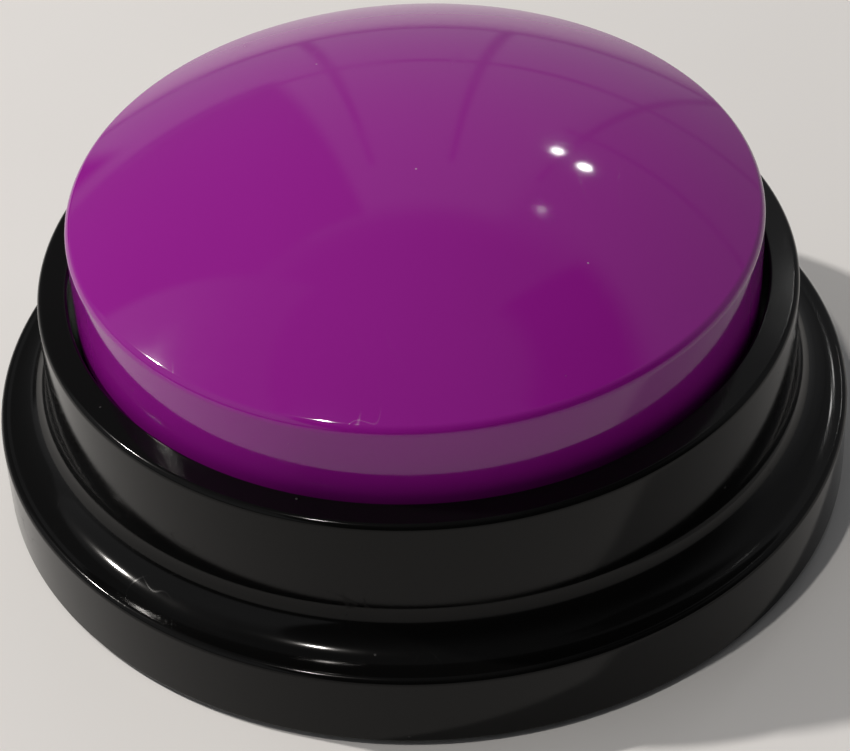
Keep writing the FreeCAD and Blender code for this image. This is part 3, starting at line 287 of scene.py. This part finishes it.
def make_studio():
    """The room's own light: a pale back wall, a darker screen, a side window, a dim ceiling."""
    world = bpy.data.worlds.new("Studio")
    scene.world = world
    world.use_nodes = True
    tree = Tree(world.node_tree)
    axes = tree.node("SeparateXYZ", {0: tree.node("TexCoord").outputs["Generated"]})
    across, back, up = axes.outputs
    to_degrees = 180.0 / math.pi
    azimuth = tree.sum("MULTIPLY", tree.sum("ARCTAN2", across, back), to_degrees)
    elevation = tree.sum("MULTIPLY", tree.sum("ARCSINE", up), to_degrees)

    def span(source, low, high, soft):
        """One between low and high, and nothing outside."""
        rise = tree.ease(source, low - soft, low + soft)
        fall = tree.ease(source, high - soft, high + soft, 1.0, 0.0)
        return tree.sum("MULTIPLY", rise, fall)

    def patch(light, value, sides, heights, soft, around=azimuth):
        """Lay one soft-edged panel of a given brightness over the light so far."""
        here = tree.sum("MULTIPLY", span(around, *sides, soft), span(elevation, *heights, soft))
        mixed = tree.node("Mix", {0: here, 2: light, 3: value}, data_type="FLOAT")
        return mixed.outputs[0]

    def joint(light, sides, heights):
        return patch(light, JOINT_BRIGHTNESS, sides, heights, JOINT_SOFTNESS)

    behind = tree.ease(back, -0.35, 0.25)
    room = tree.ease(elevation, 50.0, 64.0, 0.30, 0.15)
    front = tree.ease(elevation, 30.0, 75.0, 0.02, 0.13)
    light = tree.node("Mix", {0: behind, 2: front, 3: room}, data_type="FLOAT").outputs[0]
    light = patch(light, **BACK_WALL)
    light = patch(light, **LEFT_SCREEN)
    lean = tree.sum("MULTIPLY", elevation, SIDE_WINDOW_SLANT)
    slanted = tree.sum("SUBTRACT", azimuth, lean)
    daylight = tree.ease(elevation, 36.0, 62.0, 0.46, 0.22)
    light = patch(light, value=daylight, around=slanted, **SIDE_WINDOW)
    light = patch(light, **LOW_SHADOW)
    light = patch(light, **HIGH_SHADOW)
    for middle in UPRIGHT_JOINTS:
        across_joint = (middle - JOINT_HALF_WIDTH, middle + JOINT_HALF_WIDTH)
        light = joint(light, across_joint, UPRIGHT_JOINT_HEIGHTS)
    for middle, sides in LEVEL_JOINTS:
        light = joint(light, sides, (middle - JOINT_HALF_WIDTH, middle + JOINT_HALF_WIDTH))
    background = world.node_tree.nodes["Background"]
    background.inputs["Color"].default_value = ROOM_TINT
    tree.feed(background.inputs["Strength"], light)


# ---------------------------------------------------------------- the turned skins

SHORTEST_RUN = 0.001 * MM


def straight(start, end):
    """A straight stretch of an outline; the outside is on its right."""
    along = (end - start).normalized()
    return {"start": start, "end": end, "normal": Vector((along.y, -along.x))}


def run(start, end):
    """A list of one straight stretch, or of none where two bends already meet."""
    if (end - start).length < SHORTEST_RUN:
        return []
    return [straight(start, end)]


def bend(centre, start, end, side):
    """A round stretch; side is 1 where it bulges outward and -1 where it is hollow."""
    return {"start": start, "end": end, "centre": centre, "side": side}


def rounded(corners):
    """Stretches through (radius, height, rounding) corners, each rounding a tangent arc."""
    stretches = []
    here = Vector(corners[0][:2])
    for before, corner, after in zip(corners, corners[1:], corners[2:]):
        point = Vector(corner[:2])
        coming = (point - Vector(before[:2])).normalized()
        going = (Vector(after[:2]) - point).normalized()
        half_turn = coming.angle(going) / 2
        setback = corner[2] * math.tan(half_turn)
        start = point - coming * setback
        end = point + going * setback
        stretches += run(here, start)
        if corner[2] > 0:
            centre = point + (going - coming).normalized() * (corner[2] / math.cos(half_turn))
            outside = Vector((coming.y, -coming.x))
            side = 1 if outside.dot(start - centre) > 0 else -1
            stretches.append(bend(centre, start, end, side))
        here = end
    return stretches + run(here, Vector(corners[-1][:2]))


def housing_outline():
    """From the foot up the flange, over the step and the ring, and down to the channel and deck."""
    return rounded([
        (BASE_RADIUS - SMALL_ROUNDING, FOOT_DROP, 0.0),
        (BASE_RADIUS, FOOT_DROP, SMALL_ROUNDING),
        (BASE_RADIUS, FLANGE_HEIGHT, EDGE_ROUNDING),
        (RING_FOOT_RADIUS, FLANGE_HEIGHT, STEP_FILLET),
        (RING_TOP_RADIUS, RING_HEIGHT, EDGE_ROUNDING),
        (RING_BORE, RING_CREST, SMALL_ROUNDING),
        (RING_BORE, CHANNEL_FLOOR, 0.0),
        (DECK_RIM_RADIUS, CHANNEL_FLOOR, 0.0),
        (DECK_RIM_RADIUS, DECK_TOP, SMALL_ROUNDING),
        (DECK_RIM_RADIUS - SMALL_ROUNDING, DECK_TOP, 0.0),
    ])


def cap_outline():
    """The skirt, its rounded top edge and the dome above it."""
    dome_radius = (CAP_RADIUS ** 2 + DOME_RISE ** 2) / (2 * DOME_RISE)
    dome_centre = Vector((0.0, DOME_APEX - dome_radius))
    edge_side = CAP_RADIUS - CAP_EDGE_ROUNDING
    edge_reach = dome_radius - CAP_EDGE_ROUNDING
    edge_centre = Vector((edge_side, dome_centre.y + math.sqrt(edge_reach ** 2 - edge_side ** 2)))
    edge_foot = Vector((CAP_RADIUS, edge_centre.y))
    dome_foot = dome_centre + (edge_centre - dome_centre) * (dome_radius / edge_reach)
    skirt = rounded([
        (CAP_RADIUS - CAP_WALL, SKIRT_BOTTOM, 0.0),
        (CAP_RADIUS, SKIRT_BOTTOM, SMALL_ROUNDING),
        (CAP_RADIUS, edge_centre.y, 0.0),
    ])
    return skirt + [
        bend(edge_centre, edge_foot, dome_foot, 1),
        bend(dome_centre, dome_foot, Vector((0.0, DOME_APEX)), 1),
    ]


def closest(stretch, points):
    """The closest place on one stretch to each of the points."""
    start = np.array(stretch["start"])
    end = np.array(stretch["end"])
    if "centre" not in stretch:
        along = end - start
        share = np.clip((points - start) @ along / (along @ along), 0.0, 1.0)
        return start + share[:, None] * along
    centre = np.array(stretch["centre"])
    reach = np.linalg.norm(start - centre)
    outward = points - centre
    outward /= np.maximum(np.linalg.norm(outward, axis=1), TINY)[:, None]
    middle = (start - centre) + (end - centre)
    middle /= np.linalg.norm(middle)
    within = outward @ middle >= (start - centre) @ middle / reach - TINY
    to_start = np.linalg.norm(points - start, axis=1)
    to_end = np.linalg.norm(points - end, axis=1)
    nearer_end = np.where((to_start < to_end)[:, None], start, end)
    return np.where(within[:, None], centre + outward * reach, nearer_end)


def on_outline(stretches, spots):
    """For 3-D spots: the number of the closest stretch and its distance."""
    points = np.stack([np.hypot(spots[:, 0], spots[:, 1]), spots[:, 2]], axis=1)
    number = np.zeros(len(points), int)
    distance = np.full(len(points), np.inf)
    for index, stretch in enumerate(stretches):
        gap = np.linalg.norm(points - closest(stretch, points), axis=1)
        nearer = gap < distance
        number[nearer] = index
        distance[nearer] = gap[nearer]
    return number, distance


SAME_PLACE = 0.00001 * MM
TOUCHING = 0.04 * MM
TURNED_STEPS = 288
BEND_STEP = math.radians(7)
LONGEST_RUN = 1.5 * MM
SHARP_ANGLE = math.radians(35)


def ring_points(stretches):
    """Places down the outline, close together on the bends."""
    points = [stretches[0]["start"]]
    for stretch in stretches:
        start, end = stretch["start"], stretch["end"]
        if "centre" not in stretch:
            points.append(end)
            continue
        centre = stretch["centre"]
        reach = (start - centre).length
        turn = (end - centre).angle_signed(start - centre)
        steps = math.ceil(max(abs(turn) / BEND_STEP, abs(turn) * reach / LONGEST_RUN))
        for step in range(1, steps):
            spin = Matrix.Rotation(turn * step / steps, 2)
            points.append(centre + spin @ (start - centre))
        points.append(end)
    return points


def turn_skin(shape, stretches):
    """Add the outline turned about the upright axis, in fine even facets."""
    rings = []
    for radius, height in ring_points(stretches):
        if radius < TOUCHING:
            rings.append([shape.verts.new((0.0, 0.0, height))] * TURNED_STEPS)
            continue
        angles = [math.tau * step / TURNED_STEPS for step in range(TURNED_STEPS)]
        rings.append([shape.verts.new((radius * math.cos(angle), radius * math.sin(angle), height))
                      for angle in angles])
    for lower, upper in zip(rings, rings[1:]):
        for step in range(TURNED_STEPS):
            after = (step + 1) % TURNED_STEPS
            corners = [lower[step], lower[after], upper[after], upper[step]]
            if upper[after] is upper[step]:
                corners.pop()
            shape.faces.new(corners)


def on_skin(stretches, spots, triangles):
    """For each triangle: whether it lies on the turned outside, and its closest stretch."""
    touching = on_outline(stretches, spots)[1] < TOUCHING
    number, gap = on_outline(stretches, spots[triangles].mean(axis=1))
    return touching[triangles].all(axis=1) & (gap < TOUCHING), number


def remove_skin(shape, stretches):
    """Take away the faces that lie on the turned outside."""
    shape.verts.index_update()
    spots = np.array([vertex.co for vertex in shape.verts])
    triangles = np.array([[vertex.index for vertex in face.verts] for face in shape.faces])
    skin, _ = on_skin(stretches, spots, triangles)
    chosen = [face for face, here in zip(shape.faces, skin) if here]
    bmesh.ops.delete(shape, geom=chosen, context="FACES")


def read(collection, attribute, kind=float, width=3):
    """One attribute of every member, as rows of the given width."""
    numbers = np.empty(len(collection) * width, kind)
    collection.foreach_get(attribute, numbers)
    return numbers.reshape(-1, width)


def true_normals(mesh, stretches):
    """Corner normals: the outline's own on the turned outside, Blender's everywhere else."""
    corners = read(mesh.loops, "vertex_index", int, 1)[:, 0]
    spots = read(mesh.vertices, "co")
    normals = read(mesh.corner_normals, "vector")
    skin, number = on_skin(stretches, spots, corners.reshape(-1, 3))
    skin = np.repeat(skin, 3)
    number = np.repeat(number, 3)
    places = spots[corners]
    radii = np.hypot(places[:, 0], places[:, 1])
    for index, stretch in enumerate(stretches):
        mine = skin & (number == index)
        if "centre" in stretch:
            points = np.stack([radii[mine], places[mine, 2]], axis=1)
            flat = (points - np.array(stretch["centre"])) * stretch["side"]
            flat /= np.linalg.norm(flat, axis=1)[:, None]
        else:
            flat = np.tile(np.array(stretch["normal"]), (mine.sum(), 1))
        outward = places[mine, :2] / np.maximum(radii[mine], TINY)[:, None]
        normals[mine, :2] = outward * flat[:, :1]
        normals[mine, 2] = flat[:, 1]
    return normals


def fine_copy(name, node, body, stretches):
    """A finer copy of a CAD node, exactly round outside, that stands for it."""
    shape = bmesh.new()
    shape.from_mesh(nodes[node].data)
    bmesh.ops.remove_doubles(shape, verts=shape.verts[:], dist=SAME_PLACE)
    remove_skin(shape, stretches)
    turn_skin(shape, stretches)
    bmesh.ops.triangulate(shape, faces=shape.faces[:])
    mesh = bpy.data.meshes.new(name)
    shape.to_mesh(mesh)
    shape.free()
    for spare in ("custom_normal", "sharp_edge", "sharp_face"):
        if spare in mesh.attributes:
            mesh.attributes.remove(mesh.attributes[spare])
    mesh.shade_smooth()
    mesh.set_sharp_from_angle(angle=SHARP_ANGLE)
    mesh.normals_split_custom_set(true_normals(mesh, stretches))
    piece = bpy.data.objects.new(name, mesh)
    scene.collection.objects.link(piece)
    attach(piece, body)
    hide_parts(node)
    return piece


def pressed_spring(side):
    """A copy of a return spring, fixed to the housing, that stands for its CAD node."""
    node = "return_spring_" + side
    piece = bpy.data.objects.new("cap_spring_" + side, nodes[node].data.copy())
    scene.collection.objects.link(piece)
    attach(piece, "housing")
    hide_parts(node)
    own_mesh(piece)
    return piece


# ---------------------------------------------------------------- materials

RUBBER_DUST = (0.16, 0.15, 0.14, 1.0)

CELL_SLEEVE = (0.30, 0.36, 0.42, 1.0)
CELL_COLLAR = (0.035, 0.08, 0.16, 1.0)
CELL_END_DULL = (0.55, 0.54, 0.51, 1.0)
CELL_END_BRIGHT = (0.72, 0.71, 0.68, 1.0)

LACQUER_DARK = (0.008, 0.085, 0.028, 1.0)
LACQUER_LIGHT = (0.012, 0.115, 0.04, 1.0)
LACQUER_ON_TRACK = (0.03, 0.22, 0.075, 1.0)

RESIN_DARK = (0.008, 0.008, 0.009, 1.0)
RESIN_LIGHT = (0.02, 0.02, 0.022, 1.0)

SHRINK_DARK = (0.012, 0.016, 0.05, 1.0)
SHRINK_LIGHT = (0.02, 0.026, 0.075, 1.0)
SHRINK_STRIPE = (0.42, 0.43, 0.46, 1.0)

FERRITE_DARK = (0.035, 0.035, 0.038, 1.0)
FERRITE_LIGHT = (0.085, 0.085, 0.09, 1.0)

# A wave texture of scale 1 repeats after this length.
WAVE_REPEAT = 0.314


def polished_plastic(name, colour, roughness, gloss, dust):
    """Glossy moulded plastic: faint clouding, handling smears, hairlines and specks of dust."""
    finish = Finish(name, roughness)
    finish.set("Specular IOR Level", gloss)
    clouds = finish.noise(22.0)
    body = finish.blend(clouds, shade(colour, 0.96), shade(colour, 1.04))
    specks = finish.specks(3.2, 0.045, 0.18)
    finish.set("Base Color", finish.blend(finish.sum("MULTIPLY", specks, 0.55), body, dust + (1.0,)))
    smears = finish.ease(finish.noise(11.0, detail=4.0), 0.42, 0.75, 0.0, 0.05)
    lines = finish.sum("ADD", finish.hairlines(0.5), finish.hairlines(1.9))
    wear = finish.sum("ADD", smears, finish.sum("MULTIPLY", lines, 0.12))
    dusty = finish.sum("ADD", wear, finish.sum("MULTIPLY", specks, 0.5))
    finish.set("Roughness", finish.sum("ADD", dusty, roughness))
    finish.raise_by(finish.noise(6.0, detail=1.0), 0.0035)
    finish.raise_by(lines, -0.0006)
    finish.raise_by(specks, 0.01)
    return finish.material


def grained_plastic(name, colour, roughness, grain=0.45):
    """Matt moulded plastic with a spark-eroded grain and slightly shiny worn patches."""
    finish = Finish(name, roughness)
    fine = finish.noise(grain, detail=3.0)
    broad = finish.noise(14.0)
    finish.set("Base Color", finish.blend(broad, shade(colour, 0.92), shade(colour, 1.1)))
    finish.set("Roughness", finish.ease(broad, 0.35, 0.65, roughness - 0.07, roughness + 0.06))
    finish.raise_by(fine, 0.02)
    finish.raise_by(finish.noise(grain * 9), 0.01)
    return finish.material


def rubber(name, colour):
    """Soft rubber: dull, slightly dusty, with a fine moulded tooth."""
    finish = Finish(name, 0.82)
    dust = finish.ease(finish.noise(0.7, detail=4.0), 0.45, 0.75, 0.0, 0.16)
    finish.set("Base Color", finish.blend(dust, shade(colour, 1.0), RUBBER_DUST))
    finish.raise_by(finish.noise(0.3, detail=3.0), 0.03)
    return finish.material


def plated_steel(name, colour, roughness, stretch=(1.0, 1.0, 1.0)):
    """Plated steel: drawing or pressing marks, and a mottled dull bloom."""
    finish = Finish(name, roughness, metallic=1.0)
    bloom = finish.noise(1.8, detail=4.0)
    finish.set("Base Color", finish.blend(bloom, shade(colour, 0.82), shade(colour, 1.08)))
    marks = finish.noise(0.35, detail=3.0, place=finish.moved(stretch=stretch))
    finish.set("Roughness", finish.ease(marks, 0.3, 0.7, roughness - 0.06, roughness + 0.12))
    finish.raise_by(marks, 0.004)
    return finish.material


def cell_jacket(name, node, positive_side):
    """A plain printed sleeve: steel ends, a pale main band and a darker one by the raised end."""
    low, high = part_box(node)
    middle = (low[0] + high[0]) / 2
    half = (high[0] - low[0]) / 2
    finish = Finish(name, 0.28, metallic=1.0)
    along = finish.node("SeparateXYZ", {0: finish.place}).outputs[0]
    reach = finish.sum("MULTIPLY", finish.sum("SUBTRACT", along, middle), positive_side / half)
    collar = finish.ease(reach, 0.46, 0.47)
    sleeve = finish.blend(collar, CELL_SLEEVE, CELL_COLLAR)
    bare_front = finish.ease(reach, 0.945, 0.95)
    bare_back = finish.ease(reach, -0.975, -0.97, 1.0, 0.0)
    bare = finish.sum("MAXIMUM", bare_front, bare_back)
    scuffs = finish.noise(2.5, detail=4.0)
    steel = finish.blend(scuffs, CELL_END_DULL, CELL_END_BRIGHT)
    finish.set("Base Color", finish.blend(bare, sleeve, steel))
    finish.set("Metallic", finish.ease(bare, 0.0, 1.0, 0.55, 1.0))
    finish.set("Roughness", finish.ease(scuffs, 0.35, 0.7, 0.26, 0.34))
    finish.raise_by(bare, -0.08)
    finish.raise_by(scuffs, 0.0006)
    return finish.material


def board_laminate(name):
    """Green lacquer over copper tracks on a woven laminate."""
    finish = Finish(name, 0.32)
    tracks = finish.node("TexBrick", {"Vector": finish.place, "Scale": 1.0 / (3.6 * MM),
                                      "Mortar Size": 0.09, "Mortar Smooth": 0.15,
                                      "Bias": 0.0, "Brick Width": 1.7, "Row Height": 0.55})
    track = tracks.outputs["Fac"]
    weave = finish.noise(0.5, detail=2.0, place=finish.moved(stretch=(1.0, 0.15, 1.0)))
    ground = finish.blend(weave, LACQUER_DARK, LACQUER_LIGHT)
    finish.set("Base Color", finish.blend(track, ground, LACQUER_ON_TRACK))
    finish.raise_by(track, 0.035)
    finish.raise_by(weave, 0.006)
    return finish.material


def potting_resin(name):
    """A blob of black resin: glossy, slightly wavy, with a few pin holes."""
    finish = Finish(name, 0.22)
    waves = finish.noise(1.8, detail=2.0)
    finish.set("Base Color", finish.blend(waves, RESIN_DARK, RESIN_LIGHT))
    finish.set("Roughness", finish.ease(waves, 0.3, 0.7, 0.16, 0.34))
    finish.raise_by(waves, 0.06)
    finish.raise_by(finish.specks(0.9, 0.09, 0.3), -0.05)
    return finish.material


def capacitor_sleeve(name, node):
    """Dark shrink sleeve with the pale stripe down its negative side."""
    low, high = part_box(node)
    finish = Finish(name, 0.25)
    depth = finish.node("SeparateXYZ", {0: finish.place}).outputs[1]
    stripe = finish.ease(depth, low[1] + 0.9 * MM, low[1] + 1.0 * MM, 1.0, 0.0)
    wrinkles = finish.noise(0.9, detail=3.0)
    dark = finish.blend(wrinkles, SHRINK_DARK, SHRINK_LIGHT)
    finish.set("Base Color", finish.blend(stripe, dark, SHRINK_STRIPE))
    finish.raise_by(wrinkles, 0.01)
    return finish.material


def ferrite(name):
    """Ground ferrite: dark grey, fine pits and dull sparkle."""
    finish = Finish(name, 0.55, metallic=0.3)
    grit = finish.noise(0.35, detail=4.0)
    finish.set("Base Color", finish.blend(grit, FERRITE_DARK, FERRITE_LIGHT))
    finish.set("Roughness", finish.ease(grit, 0.3, 0.7, 0.42, 0.68))
    finish.raise_by(grit, 0.02)
    return finish.material


def ringed(name, node, colour, roughness, metallic, pitch, depth, kind="RINGS"):
    """A round piece with fine even rings or windings about its own upright axis."""
    low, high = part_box(node)
    middle = [(low[axis] + high[axis]) / 2 for axis in range(3)]
    finish = Finish(name, roughness, metallic=metallic)
    shifted = finish.moved(offset=(-middle[0], -middle[1], -middle[2]))
    options = {"wave_type": kind, kind.lower() + "_direction": "Z"}
    wave = finish.node("TexWave", {"Vector": shifted, "Scale": WAVE_REPEAT / (pitch * MM),
                                   "Distortion": 0.0}, **options)
    rings = wave.outputs["Fac"]
    clouds = finish.noise(2.2, detail=3.0)
    finish.set("Base Color", finish.blend(clouds, shade(colour, 0.8), shade(colour, 1.15)))
    finish.set("Roughness", finish.ease(clouds, 0.3, 0.7, roughness - 0.05, roughness + 0.08))
    finish.raise_by(rings, depth)
    return finish.material


def insulation(name, colour):
    """Soft wire insulation: satin, faintly ribbed by the extruder."""
    finish = Finish(name, 0.38)
    clouds = finish.noise(1.4, detail=3.0)
    finish.set("Base Color", finish.blend(clouds, shade(colour, 0.85), shade(colour, 1.12)))
    finish.set("Roughness", finish.ease(clouds, 0.35, 0.7, 0.32, 0.46))
    finish.raise_by(finish.noise(0.4), 0.012)
    return finish.material


def paint(pieces, material):
    """Give every slot of the pieces one material."""
    for piece in pieces:
        if not piece.material_slots:
            piece.data.materials.append(material)
        for place in piece.material_slots:
            place.material = material


def paint_nodes(material, *names):
    paint([nodes[name] for name in names], material)


def paint_the_works():
    """Procedural finishes for every CAD node that is shown as it is."""
    paint_nodes(grained_plastic("matt cover plastic", (0.012, 0.012, 0.013), 0.42),
                "base_plate", "battery_door")
    paint_nodes(rubber("foot rubber", (0.018, 0.018, 0.018)), "rubber_feet")
    paint_nodes(plated_steel("zinc screws", (0.58, 0.59, 0.57), 0.30),
                "case_screws", "board_screws", "speaker_screws", "door_screw")
    paint_nodes(grained_plastic("switch plastic", (0.014, 0.014, 0.015), 0.38, 0.3),
                "door_screw_washer", "switch_body", "switch_plunger")
    paint_nodes(cell_jacket("front cell jacket", "battery_front", 1.0), "battery_front")
    paint_nodes(cell_jacket("back cell jacket", "battery_back", -1.0), "battery_back")
    paint_nodes(plated_steel("nickel contacts", (0.70, 0.67, 0.60), 0.20, (1.0, 0.1, 1.0)),
                "positive_contact", "negative_contact", "bridge_contact", "switch_cover", "switch_pins")
    paint_nodes(board_laminate("green board"), "circuit_board", "speaker_terminals")
    paint_nodes(potting_resin("potting resin"), "chip_cover", "board_chips")
    paint_nodes(capacitor_sleeve("capacitor sleeve", "capacitor"), "capacitor")
    paint_nodes(plated_steel("basket steel", (0.52, 0.52, 0.50), 0.34), "speaker_basket")
    paint_nodes(ferrite("magnet ferrite"), "speaker_magnet")
    paint_nodes(ringed("cone film", "speaker_cone", (0.42, 0.38, 0.30), 0.36, 0.0, 1.1, 0.12),
                "speaker_cone")
    paint_nodes(ringed("coil copper", "speaker_coil", (0.62, 0.28, 0.12), 0.30, 1.0, 0.16, 0.04,
                       kind="BANDS"), "speaker_coil")
    paint_nodes(insulation("red insulation", (0.45, 0.012, 0.010)),
                "battery_lead_positive", "speaker_lead_positive")
    paint_nodes(insulation("black insulation", (0.012, 0.012, 0.012)),
                "battery_lead_negative", "speaker_lead_negative")


# ---------------------------------------------------------------- build

PURPLE = (0.27, 0.0075, 0.262)
PURPLE_DUST = (0.55, 0.40, 0.53)
BLACK = (0.0024, 0.0024, 0.0024)
BLACK_DUST = (0.05, 0.05, 0.05)
SPRING_WIRE = (0.60, 0.60, 0.58)

make_camera()
make_floor()
make_lamps()
make_studio()

case = fine_copy("case_shell", "upper_housing", "housing", housing_outline())
paint([case], polished_plastic("black case plastic", BLACK, 0.10, 0.17, BLACK_DUST))
cap = fine_copy("press_cap", "button_cap", "button", cap_outline())
paint([cap], polished_plastic("purple cap plastic", PURPLE, 0.06, 0.5, PURPLE_DUST))
springs = [pressed_spring(side) for side in ("right", "left", "front")]
paint(springs, plated_steel("spring wire", SPRING_WIRE, 0.27))
paint_the_works()

scene.view_settings.view_transform = "Standard"
